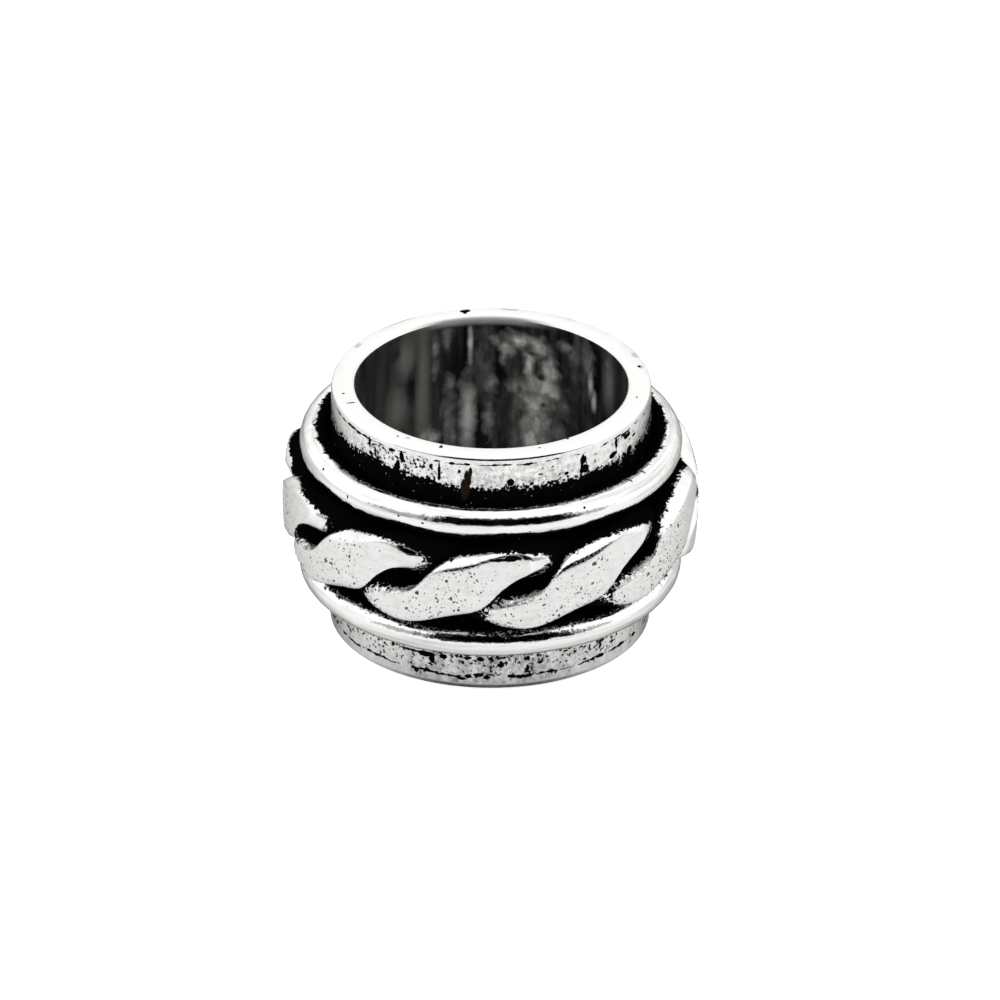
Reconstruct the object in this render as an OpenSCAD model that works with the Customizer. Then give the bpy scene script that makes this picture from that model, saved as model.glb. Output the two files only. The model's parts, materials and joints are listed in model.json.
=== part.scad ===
// Dreadlock bead: a short sleeve that a lock of hair passes through, with two round
// wire rings soldered round it and a twisted rope of two strands laid between them.
// The whole bead is one solid of metal. It stands on its lower end, with the bore
// along Z and the origin at the centre of that end. All sizes are in millimetres.

/* [Sleeve] */
// Diameter of the bore that the hair passes through
bore_d = 8; // [5:0.1:12]
// Thickness of the sleeve's wall
wall_t = 0.7; // [0.55:0.05:1.2]
// Height of the bead from end to end
bead_h = 7.7; // [6:0.1:12]
// Width of the bevel on the edges of both ends
end_bevel = 0.12; // [0.05:0.01:0.2]

/* [Rings] */
// Thickness of the wire of each ring
ring_wire_d = 0.95; // [0.6:0.05:1.2]
// Depth that each ring is sunk into the sleeve where it is soldered
ring_sink = 0.03; // [0.02:0.01:0.1]

/* [Rope] */
// Width of the rope across both of its strands, along the bore
rope_w = 2.7; // [2.2:0.05:3.2]
// Distance from each side of the rope to the ring beside it, before the rope is lifted
rope_gap = 0.125; // [0.1:0.025:0.5]
// Distance that the rope sits above the middle of the bead
rope_lift = 0.13; // [0:0.01:0.15]
// Height that the rope stands out of the sleeve
rope_rise = 1.42; // [1.2:0.02:1.6]
// Depth that is rubbed off the outside of the rope, which leaves it almost flat there
rope_rub = 0.22; // [0:0.02:0.24]
// Height of the curve across the rubbed outside
rope_crown = 0.08; // [0:0.02:0.2]
// Depth that the rope is sunk into the sleeve where it is soldered
rope_sink = 0.34; // [0.1:0.02:0.4]
// Number of twists that each strand makes on its way round the bead
rope_twists = 5; // [4:1:6]
// Width of a strand where it crosses the outside of the rope
strand_w = 1.84; // [1.4:0.02:2]
// Thickness of a strand
strand_t = 1.1; // [0.9:0.02:1.3]
// Angle from the front to the middle of the first strand's nearest crossing
rope_turn = -9; // [-36:0.5:36]

/* [Hidden] */

// Facets of the round walls
ROUND_FN = 96;
// Facets of a ring's wire
WIRE_FN = 48;
// Sections along one twist of a strand, and corners of each section
TWIST_STEPS = 18;
SECTION_CORNERS = 12;
// Angle of the bead's front, which faces away from +Y
FRONT = -90;
// A strand stays out for most of each twist and dives quickly under the other. The higher
// the power, the longer it stays out. The lead is how many degrees of twist before the
// rope's middle it is farthest out.
OUTSIDE_POWER = 3;
OUTSIDE_LEAD = 10;
// Half of the angle over which a strand's direction is measured
WAY_STEP = 0.5;

bore_r = bore_d / 2;
sleeve_r = bore_r + wall_t;
mid_z = bead_h / 2;

ring_r = sleeve_r + ring_wire_d / 2 - ring_sink;
ring_offset = rope_w / 2 + rope_gap + ring_wire_d / 2;

// The rope's outside is rubbed down to crest_r at its middle. Its strands swing round a
// circle of radius rope_r: swing_r in and out, and swing_z up and down.
crest_r = sleeve_r + rope_rise;
rope_z = mid_z + rope_lift;
rope_depth = rope_rise + rope_rub + rope_sink;
rope_r = sleeve_r - rope_sink + rope_depth / 2;
swing_r = (rope_depth - strand_t) / 2;
swing_z = (rope_w - strand_t) / 2;
strand_steps = rope_twists * TWIST_STEPS;

function dot3(a, b) = a[0] * b[0] + a[1] * b[1] + a[2] * b[2];
function unit(v) = v / norm(v);

// Direction out from the axis at an angle round the bead
function outward(angle) = [cos(angle), sin(angle), 0];

// Twist of a strand about the rope's middle at an angle round the bead. It is 0 where
// the strand crosses the outside of the rope, and `lead` is half a turn for the second.
function twist_at(angle, lead) = rope_twists * (angle - FRONT - rope_turn) + lead;

// How far out a strand is: 1 on the outside, and -1 under the other strand
function how_far_out(twist) =
    1 - 2 * pow((1 - cos(twist + OUTSIDE_LEAD)) / 2, OUTSIDE_POWER);

// Middle of a strand, and its direction, at an angle round the bead
function strand_mid(angle, lead) =
    let (twist = twist_at(angle, lead))
    (rope_r + swing_r * how_far_out(twist)) * outward(angle)
        + [0, 0, rope_z + swing_z * sin(twist)];
function strand_way(angle, lead) =
    unit(strand_mid(angle + WAY_STEP, lead) - strand_mid(angle - WAY_STEP, lead));

// Half the width of a strand: full where it crosses, and round where it turns over
function half_width(twist) = strand_t / 2 + (strand_w - strand_t) / 2 * pow(cos(twist), 2);

// Radius of the rope's rubbed outside at a height
function rubbed_r(z) = crest_r - rope_crown * pow((z - rope_z) / (rope_w / 2), 2);

// A point moved in to the rubbed outside of the rope, if it lies past it
function rubbed(p) =
    let (k = min(1, rubbed_r(p[2]) / norm([p[0], p[1]])))
    [p[0] * k, p[1] * k, p[2]];

// Corners of a strand's oval section, flat side out, at an angle round the bead. The
// oval turns with the twist, and its corners don't, so they run straight along the strand.
function strand_section(angle, lead) =
    let (
        twist = twist_at(angle, lead),
        mid = strand_mid(angle, lead),
        way = strand_way(angle, lead),
        facing = cos(twist) * outward(angle) + [0, 0, sin(twist)],
        thick = unit(facing - dot3(facing, way) * way),
        wide = cross(way, thick)
    )
    [for (i = [0 : SECTION_CORNERS - 1])
        let (a = 360 * i / SECTION_CORNERS - twist)
        rubbed(mid + half_width(twist) * cos(a) * wide + strand_t / 2 * sin(a) * thick)];

// One strand, a closed loop that weaves in and out all the way round the bead
module strand(lead) {
    points = [for (s = [0 : strand_steps - 1])
        each strand_section(FRONT + rope_turn + 360 * s / strand_steps, lead)];
    faces = [for (s = [0 : strand_steps - 1], i = [0 : SECTION_CORNERS - 1])
        let (
            next_s = (s + 1) % strand_steps,
            next_i = (i + 1) % SECTION_CORNERS,
            a = s * SECTION_CORNERS + i,
            b = s * SECTION_CORNERS + next_i,
            c = next_s * SECTION_CORNERS + next_i,
            d = next_s * SECTION_CORNERS + i
        )
        each [[a, b, c], [a, c, d]]];
    polyhedron(points, faces);
}

// The twisted rope: two strands, half a twist apart
module rope() {
    for (lead = [0, 180])
        strand(lead);
}

// The sleeve's wall, with bevelled ends
module sleeve() {
    rotate_extrude($fn = ROUND_FN)
        polygon([
            [bore_r, end_bevel],
            [bore_r + end_bevel, 0],
            [sleeve_r - end_bevel, 0],
            [sleeve_r, end_bevel],
            [sleeve_r, bead_h - end_bevel],
            [sleeve_r - end_bevel, bead_h],
            [bore_r + end_bevel, bead_h],
            [bore_r, bead_h - end_bevel]
        ]);
}

// One ring of round wire, soldered on at a height
module ring(z) {
    translate([0, 0, z])
        rotate_extrude($fn = ROUND_FN)
            translate([ring_r, 0])
                circle(d = ring_wire_d, $fn = WIRE_FN);
}

// The whole bead, one solid of antiqued silver-coloured metal
module bead() {
    color("silver")
        union() {
            sleeve();
            for (side = [-1, 1])
                ring(mid_z + side * ring_offset);
            rope();
        }
}

bead();
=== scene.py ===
"""Visual model of a dreadlock bead: a plain sleeve, two wire rings and a rope of two strands.

Every piece is modelled in millimetres and brought to metres at the end, in the frame of the
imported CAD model. The finish is silver plate that was blackened all over and rubbed bright again.
"""

import json
import logging
import math
from contextlib import contextmanager
from dataclasses import dataclass
from enum import Enum
from functools import cached_property
from typing import Any, Callable, Iterator

import bmesh
import bpy
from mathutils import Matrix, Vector

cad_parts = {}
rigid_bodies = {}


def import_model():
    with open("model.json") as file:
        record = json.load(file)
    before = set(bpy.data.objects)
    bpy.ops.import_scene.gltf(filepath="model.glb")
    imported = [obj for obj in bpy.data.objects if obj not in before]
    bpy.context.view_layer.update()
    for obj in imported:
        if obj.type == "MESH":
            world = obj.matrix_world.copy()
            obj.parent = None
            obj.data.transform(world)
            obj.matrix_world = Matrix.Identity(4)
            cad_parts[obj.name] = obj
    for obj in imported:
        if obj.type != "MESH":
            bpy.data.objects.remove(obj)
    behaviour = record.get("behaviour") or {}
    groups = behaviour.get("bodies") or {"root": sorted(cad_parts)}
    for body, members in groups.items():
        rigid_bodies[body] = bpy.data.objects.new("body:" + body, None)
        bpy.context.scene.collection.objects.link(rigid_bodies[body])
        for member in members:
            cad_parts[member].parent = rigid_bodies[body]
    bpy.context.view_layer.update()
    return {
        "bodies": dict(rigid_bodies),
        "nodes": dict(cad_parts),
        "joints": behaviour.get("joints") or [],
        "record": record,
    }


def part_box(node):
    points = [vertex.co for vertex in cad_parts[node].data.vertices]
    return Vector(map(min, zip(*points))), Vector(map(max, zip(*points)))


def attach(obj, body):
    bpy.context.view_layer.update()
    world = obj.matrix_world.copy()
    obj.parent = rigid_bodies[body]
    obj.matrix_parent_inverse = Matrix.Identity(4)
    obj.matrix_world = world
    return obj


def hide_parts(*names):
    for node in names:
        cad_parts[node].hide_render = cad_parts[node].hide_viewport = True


LOG = logging.getLogger("bead")

MM = 0.001
FULL_TURN = 2 * math.pi
# With no window, transform.rotate turns the other way.
TURN_SIGN = -1
BODY = "root"
CAD_NODE = "bead"
SMOOTH_ANGLE = math.radians(35)
# Difference in millimetres that counts as none when parts of a mesh are picked
NEARLY = 0.01
# Distance in millimetres within which corners are merged
MERGE = 0.001
ORIGIN = (0, 0, 0)
UPRIGHT = (0, 0, 1)
WHITE = "#FFFFFF"

# Scale of a noise whose largest clouds are one millimetre across
NOISE_SCALE = 0.5
# The middle of a noise's values, and the range that most of them lie in
NOISE_MIDDLE = 0.5
NOISE_LOW = 0.42
NOISE_HIGH = 0.66


class Axis(Enum):
    """An axis, as Blender's rotate operator names it."""

    X = "X"
    Y = "Y"
    Z = "Z"


class Part(Enum):
    """A kind of part of a mesh, as Blender's select_mode operator names it."""

    VERT = "VERT"
    EDGE = "EDGE"
    FACE = "FACE"


class Side(Enum):
    """The side of the bead that angles are measured from, with the sign of its Y."""

    FRONT = -1
    BACK = 1


class Wave(Enum):
    """A wave, as Blender's Math node names it."""

    SINE = "SINE"
    COSINE = "COSINE"


@dataclass(frozen=True)
class BeadSizes:
    """Sizes of the bead in millimetres, the same as in its CAD source."""

    bore_r: float
    height: float
    crest_r: float
    wall: float = 0.7
    end_bevel: float = 0.12
    wire_r: float = 0.475
    ring_sink: float = 0.03
    rope_w: float = 2.7
    rope_gap: float = 0.125
    rope_lift: float = 0.13
    rope_rub: float = 0.22
    rope_crown: float = 0.08
    rope_sink: float = 0.34
    rope_twists: int = 5
    strand_w: float = 1.84
    strand_t: float = 1.1
    rope_turn: float = math.radians(-9)
    outside_power: int = 3
    outside_lead: float = math.radians(10)

    @property
    def sleeve_r(self) -> float:
        """Outer radius of the sleeve."""
        return self.bore_r + self.wall

    @property
    def mid_z(self) -> float:
        """Height of the bead's middle."""
        return self.height / 2

    @property
    def ring_r(self) -> float:
        """Radius of the circle through the middle of a ring's wire."""
        return self.sleeve_r + self.wire_r - self.ring_sink

    @property
    def ring_offset(self) -> float:
        """Distance from the bead's middle up or down to the middle of a ring."""
        return self.rope_w / 2 + self.rope_gap + self.wire_r

    @property
    def rope_z(self) -> float:
        """Height of the rope's middle."""
        return self.mid_z + self.rope_lift

    @property
    def rope_r(self) -> float:
        """Radius of the circle that the rope's strands swing round."""
        return (self.crest_r + self.rope_rub + self.sleeve_r - self.rope_sink) / 2

    @property
    def swing_r(self) -> float:
        """Distance that a strand swings in and out."""
        depth = self.crest_r + self.rope_rub - self.sleeve_r + self.rope_sink
        return (depth - self.strand_t) / 2

    @property
    def swing_z(self) -> float:
        """Distance that a strand swings up and down."""
        return (self.rope_w - self.strand_t) / 2

    def rubbed_r(self, height: float) -> float:
        """Radius of the rope's rubbed outside at a height."""
        return self.crest_r - self.rope_crown * ((height - self.rope_z) * 2 / self.rope_w) ** 2

    @classmethod
    def from_frame(cls, frame: dict[str, Any]) -> "BeadSizes":
        """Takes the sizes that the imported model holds.


        Returns:
            The bead's sizes, in millimetres.
        """
        bore = next(m for m in frame["record"]["mounts"] if m["name"] == "bore")
        low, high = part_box(CAD_NODE)
        return cls(
            bore_r=bore["dims"]["r_mm"],
            height=(high[2] - low[2]) / MM,
            crest_r=min(high[0] - low[0], high[1] - low[1]) / 2 / MM,
        )


# Modelling by hand: a piece is added as a primitive, then shaped in edit mode.


def deselect_all() -> None:
    """Deselects every object, because operators act on all that is selected."""
    bpy.ops.object.select_all(action="DESELECT")


def select_only(obj: bpy.types.Object) -> None:
    """Selects one object and makes it the active one.

    Args:
        obj: The object.
    """
    deselect_all()
    obj.select_set(True)
    bpy.context.view_layer.objects.active = obj


def name_new(name: str) -> bpy.types.Object:
    """Names the primitive that was just added, and its mesh.

    Args:
        name: The name of both.

    Returns:
        The primitive.
    """
    obj = bpy.context.active_object
    obj.name = name
    obj.data.name = name
    return obj


@contextmanager
def editing(obj: bpy.types.Object, part: Part) -> Iterator[None]:
    """Puts an object in edit mode with nothing selected, and leaves it in object mode.

    Args:
        obj: The object to edit.
        part: The kind of part that is selected.

    Yields:
        Nothing.
    """
    select_only(obj)
    bpy.ops.object.mode_set(mode="EDIT")
    bpy.ops.mesh.select_mode(type=part.value)
    bpy.ops.mesh.select_all(action="DESELECT")
    yield
    bpy.ops.object.mode_set(mode="OBJECT")


def pick(obj: bpy.types.Object, part: Part, test: Callable[[Any], bool]) -> None:
    """Selects the parts of a mesh in edit mode that pass a test, and nothing else.

    Args:
        obj: The object in edit mode.
        part: The kind of part to select.
        test: Says whether a part is picked, from its place or normal.
    """
    bpy.ops.mesh.select_mode(type=part.value)
    bpy.ops.mesh.select_all(action="DESELECT")
    mesh = bmesh.from_edit_mesh(obj.data)
    for found in filter(test, getattr(mesh, f"{part.value.lower()}s")):
        found.select_set(True)
    mesh.select_flush_mode()
    bmesh.update_edit_mesh(obj.data)


def pick_all() -> None:
    """Selects the whole of the mesh in edit mode."""
    bpy.ops.mesh.select_all(action="SELECT")


def turn(angle: float, axis: Axis, centre: tuple[float, float, float]) -> None:
    """Turns what is selected, by the right-hand rule.

    Args:
        angle: The angle in radians.
        axis: The axis to turn about.
        centre: The point that the axis goes through.
    """
    bpy.ops.transform.rotate(
        value=TURN_SIGN * angle,
        orient_axis=axis.value,
        orient_type="GLOBAL",
        center_override=centre,
    )


def apply_modifier(obj: bpy.types.Object, kind: str, **settings: Any) -> None:
    """Adds a modifier to an object and applies it.

    Args:
        obj: The object to change.
        kind: Blender's name for the modifier's type.
        **settings: Values for the modifier's own properties.
    """
    select_only(obj)
    modifier = obj.modifiers.new(kind.title(), kind)
    for key, value in settings.items():
        setattr(modifier, key, value)
    bpy.ops.object.modifier_apply(modifier=modifier.name)


def bring_to_metres(obj: bpy.types.Object) -> None:
    """Shrinks a piece modelled in millimetres to its real size, with its place in its mesh.

    Args:
        obj: The piece.
    """
    select_only(obj)
    bpy.ops.object.transform_apply(location=True, rotation=True, scale=True)
    bpy.ops.transform.resize(value=(MM, MM, MM), center_override=ORIGIN)
    bpy.ops.object.transform_apply(location=True, rotation=True, scale=True)


def copy_piece(obj: bpy.types.Object, name: str) -> bpy.types.Object:
    """Copies a piece with a mesh of its own.

    Args:
        obj: The piece to copy.
        name: The copy's name.

    Returns:
        The copy.
    """
    copy = obj.copy()
    copy.data = obj.data.copy()
    copy.name = name
    copy.data.name = name
    bpy.context.collection.objects.link(copy)
    return copy


def distance_from_axis(point: Vector) -> float:
    """Distance of a point from the bead's axis."""
    return math.hypot(point.x, point.y)


def reach(edge: bmesh.types.BMEdge, axis: Axis) -> float:
    """How far an edge reaches along an axis."""
    start, end = (getattr(vert.co, axis.value.lower()) for vert in edge.verts)
    return abs(end - start)


# Finishes


def linear_colour(code: str) -> tuple[float, float, float, float]:
    """Turns an sRGB hex colour to linear.

    Args:
        code: Six hex digits after a number sign.

    Returns:
        Linear red, green and blue, and an alpha of 1.
    """
    parts = [int(code[i : i + 2], 16) / 255 for i in (1, 3, 5)]
    linear = [c / 12.92 if c <= 0.04045 else ((c + 0.055) / 1.055) ** 2.4 for c in parts]
    return (*linear, 1.0)


def add_node(
    tree: bpy.types.NodeTree,
    kind: str,
    inputs: dict[Any, Any] | None = None,
    output: int | str = 0,
    **settings: Any,
) -> bpy.types.NodeSocket | None:
    """Adds a node with its settings and links.

    Args:
        tree: The material's or world's node tree.
        kind: Blender's name for the node's type, after ShaderNode.
        inputs: A value or an output socket for each input, by its name or number.
        output: The name or number of the output that is wanted.
        **settings: Values for the node's own properties.

    Returns:
        The output socket, or nothing where the node has none.
    """
    node = tree.nodes.new(f"ShaderNode{kind}")
    for key, value in settings.items():
        setattr(node, key, value)
    for key, value in (inputs or {}).items():
        if isinstance(value, bpy.types.NodeSocket):
            tree.links.new(value, node.inputs[key])
        else:
            node.inputs[key].default_value = value
    return node.outputs[output] if node.outputs else None


def empty_tree(owner: bpy.types.Material | bpy.types.World) -> bpy.types.NodeTree:
    """Clears the node tree of a material or a world.

    Args:
        owner: The material or world.

    Returns:
        The tree.
    """
    owner.use_nodes = True
    owner.node_tree.nodes.clear()
    return owner.node_tree


@dataclass(frozen=True)
class Spot:
    """A stain, nick or bare patch, as an oval on a surface that runs round the bead.

    The level is the height of the spot on a wall, or its distance from the axis on an end.
    """

    turn_deg: float
    level: float
    half_round: float
    half_level: float


@dataclass(frozen=True)
class Fringe:
    """How a group of spots ends: how softly, and how raggedly.

    Distances are from a spot's middle, in spot sizes: the mask is 0 at `none` and 1 at
    `full`, and noise of a size in millimetres shifts both by up to `rag`.
    """

    none: float = 1.1
    full: float = 0.9
    rag: float = 0.5
    rag_mm: float = 0.08


@dataclass(frozen=True)
class Stretch:
    """A stretch of the way round the bead, in degrees from one side towards +X.

    A pattern on it is whole up to `full` degrees from its middle, and gone at `none`.
    """

    middle: float
    full: float
    none: float
    side: Side = Side.FRONT


class Surface:
    """A material's node tree, with the measures of the bead that its patterns read."""

    def __init__(self, name: str) -> None:
        """Makes an empty material.

        Args:
            name: The material's name.
        """
        self.material = bpy.data.materials.new(name)
        self.tree = empty_tree(self.material)
        self.angles: dict[Side, bpy.types.NodeSocket] = {}

    def add(self, kind: str, inputs: dict[Any, Any] | None = None, **settings: Any) -> Any:
        """Adds a node to the material, as add_node does."""
        return add_node(self.tree, kind, inputs, **settings)

    @cached_property
    def place(self) -> bpy.types.NodeSocket:
        """The point's place in millimetres."""
        coords = self.add("TexCoord", output="Object")
        return self.add("VectorMath", {0: coords, 1: (1 / MM,) * 3}, operation="MULTIPLY")

    @cached_property
    def radius(self) -> bpy.types.NodeSocket:
        """The point's distance from the bead's axis."""
        flat = self.add("VectorMath", {0: self.place, 1: (1, 1, 0)}, operation="MULTIPLY")
        return self.add("VectorMath", {0: flat}, output="Value", operation="LENGTH")

    @cached_property
    def height(self) -> bpy.types.NodeSocket:
        """The point's height."""
        return self.add("SeparateXYZ", {0: self.place}, output="Z")

    def round_from(self, side: Side) -> bpy.types.NodeSocket:
        """The angle round the bead towards +X.

        Args:
            side: The side that it is measured from.

        Returns:
            The angle in radians, which jumps on the opposite side.
        """
        if side not in self.angles:
            across = self.add("SeparateXYZ", {0: self.place}, output="X")
            depth = self.add("SeparateXYZ", {0: self.place}, output="Y")
            way = self.add("Math", {0: depth, 1: side.value}, operation="MULTIPLY")
            self.angles[side] = self.add("Math", {0: across, 1: way}, operation="ARCTAN2")
        return self.angles[side]

    def on_stretch(self, stretch: Stretch) -> Any:
        """A stretch of the way round the bead.

        Args:
            stretch: The stretch.

        Returns:
            The mask, 1 in the middle of the stretch.
        """
        middle = math.radians(stretch.middle)
        away = self.add(
            "Math", {0: self.round_from(stretch.side), 1: middle}, operation="SUBTRACT"
        )
        return self.add(
            "MapRange",
            {
                "Value": self.add("Math", {0: away}, operation="ABSOLUTE"),
                "From Min": math.radians(stretch.none),
                "From Max": math.radians(stretch.full),
            },
        )

    def above_mid(self, mid: float) -> bpy.types.NodeSocket:
        """Distance above or below a height, always positive."""
        offset = self.add("Math", {0: self.height, 1: mid}, operation="SUBTRACT")
        return self.add("Math", {0: offset}, operation="ABSOLUTE")

    def stretched(self, scale: tuple[float, float, float]) -> bpy.types.NodeSocket:
        """The place in millimetres, scaled for a pattern that is longer one way."""
        return self.add("VectorMath", {0: self.place, 1: scale}, operation="MULTIPLY")

    def combined(self, operation: str, values: tuple[Any, ...]) -> Any:
        """Combines several values into one.

        Args:
            operation: The Math node's operation, done to each value and what came before it.
            values: Sockets or numbers, with a socket among the first two.

        Returns:
            The result.
        """
        result = values[0]
        for value in values[1:]:
            result = self.add("Math", {0: result, 1: value}, operation=operation)
        return result

    def product(self, *values: Any) -> Any:
        """Several values multiplied together."""
        return self.combined("MULTIPLY", values)

    def total(self, *values: Any) -> Any:
        """Several values added together."""
        return self.combined("ADD", values)

    def most(self, *values: Any) -> Any:
        """The largest of several values."""
        return self.combined("MAXIMUM", values)

    def mottle(self, size_mm: float, scale: tuple[float, float, float] = (1, 1, 1)) -> Any:
        """Soft, irregular clouds.

        Args:
            size_mm: Size of the largest clouds.
            scale: The scale along each axis. A small one makes the clouds longer that way.

        Returns:
            A mask from 0 to 1.
        """
        noise = self.add(
            "TexNoise",
            {
                "Vector": self.stretched(scale),
                "Scale": NOISE_SCALE / size_mm,
                "Detail": 5.0,
                "Roughness": 0.62,
            },
        )
        return self.add(
            "MapRange", {"Value": noise, "From Min": NOISE_LOW, "From Max": NOISE_HIGH}
        )

    def brushed(self, long_mm: float, thick_mm: float) -> Any:
        """Fine marks that run round the bead.

        Args:
            long_mm: Length of the marks.
            thick_mm: Thickness of the marks.

        Returns:
            A mask, 1 in the marks.
        """
        here = self.stretched((1 / long_mm, 1 / long_mm, 1 / thick_mm))
        noise = self.add("TexNoise", {"Vector": here, "Scale": 1.0, "Detail": 3.0})
        return self.add("MapRange", {"Value": noise, "From Min": 0.5, "From Max": 0.72})

    def ragged_black(
        self,
        depth: Any,
        coarse_mm: float,
        fine_mm: float,
        fine_share: float,
        spread: float = 0.3,
        softness: float = 0.03,
    ) -> Any:
        """Black that breaks up into islands and specks towards the rubbed silver.

        Args:
            depth: 0 where all of the black is rubbed off, and 1 where all of it is left.
            coarse_mm: Size of the tongues of black.
            fine_mm: Size of the specks at their edges.
            fine_share: How much the specks count against the tongues, up to 1.
            spread: How far the noise has to reach. A small one scatters the black wider.
            softness: Width of the edge, as a part of the noise's range.

        Returns:
            A mask, 1 where the surface is black.
        """
        coarse, fine = (
            self.add(
                "TexNoise",
                {"Vector": self.place, "Scale": NOISE_SCALE / size_mm, "Detail": detail},
            )
            for size_mm, detail in ((coarse_mm, 4.0), (fine_mm, 3.0))
        )
        noise = self.add("Mix", {0: fine_share, 2: coarse, 3: fine}, data_type="FLOAT")
        bar = self.add(
            "MapRange",
            {"Value": depth, "To Min": NOISE_MIDDLE + spread, "To Max": NOISE_MIDDLE - spread},
        )
        over = self.add("Math", {0: noise, 1: bar}, operation="SUBTRACT")
        return self.add(
            "MapRange", {"Value": over, "From Min": -softness, "From Max": softness}
        )

    def spots(
        self,
        spots: tuple[Spot, ...],
        level: bpy.types.NodeSocket,
        at_radius: float,
        side: Side = Side.FRONT,
        fringe: Fringe = Fringe(),
    ) -> Any:
        """A mask of spots.

        Args:
            spots: The spots.
            level: The measure that their levels are given in.
            at_radius: The radius that turns angles into millimetres round the bead.
            side: The side that their angles are measured from.
            fringe: How the spots end.

        Returns:
            The mask, 1 in the spots.
        """
        turn_mm = self.product(self.round_from(side), at_radius)
        here = self.add("CombineXYZ", {0: turn_mm, 1: level})
        nearest: Any = fringe.none + fringe.rag
        for spot in spots:
            scale = (1 / spot.half_round, 1 / spot.half_level, 0)
            centre = (math.radians(spot.turn_deg) * at_radius, spot.level)
            shift = (-centre[0] * scale[0], -centre[1] * scale[1], 0)
            off = self.add(
                "VectorMath", {0: here, 1: scale, 2: shift}, operation="MULTIPLY_ADD"
            )
            away = self.add("VectorMath", {0: off}, output="Value", operation="LENGTH")
            nearest = self.add("Math", {0: nearest, 1: away}, operation="MINIMUM")
        noise = self.add(
            "TexNoise",
            {"Vector": self.place, "Scale": NOISE_SCALE / fringe.rag_mm, "Detail": 3.0},
        )
        shaken = self.add(
            "Math", {0: noise, 1: -2 * fringe.rag, 2: nearest}, operation="MULTIPLY_ADD"
        )
        return self.add(
            "MapRange",
            {
                "Value": shaken,
                "From Min": fringe.none - fringe.rag,
                "From Max": fringe.full - fringe.rag,
            },
        )

    def pits(
        self,
        cell_mm: float,
        share: float,
        largest: float,
        crowd: Any,
        top_chance: float = 0.85,
        rag_cells: float = 1.6,
        softness: float = 0.05,
    ) -> Any:
        """Small, ragged pits.

        Args:
            cell_mm: Distance between neighbouring pits.
            share: The share of the cells that hold a pit, up to top_chance.
            largest: Radius of the largest pit, in cells.
            crowd: Where the pits crowd together, from 0 to 1.
            top_chance: A cell's random number from which its pit is the largest.
            rag_cells: Scale of the noise that makes the pits ragged, to a cell.
            softness: Half of the width of a pit's edge, in cells.

        Returns:
            A mask, 1 in the pits.
        """
        scale = 1 / cell_mm
        away, chance = (
            self.add("TexVoronoi", {"Vector": self.place, "Scale": scale}, output=output)
            for output in ("Distance", "Color")
        )
        size = self.add(
            "MapRange",
            {
                "Value": chance,
                "From Min": top_chance - share,
                "From Max": top_chance,
                "To Max": largest,
            },
        )
        noise = self.add(
            "TexNoise", {"Vector": self.place, "Scale": rag_cells * scale, "Detail": 3.0}
        )
        ragged = self.total(away, self.total(noise, -NOISE_MIDDLE))
        inside = self.add(
            "Math", {0: self.product(size, crowd), 1: ragged}, operation="SUBTRACT"
        )
        return self.add(
            "MapRange", {"Value": inside, "From Min": -softness, "From Max": softness}
        )


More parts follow.
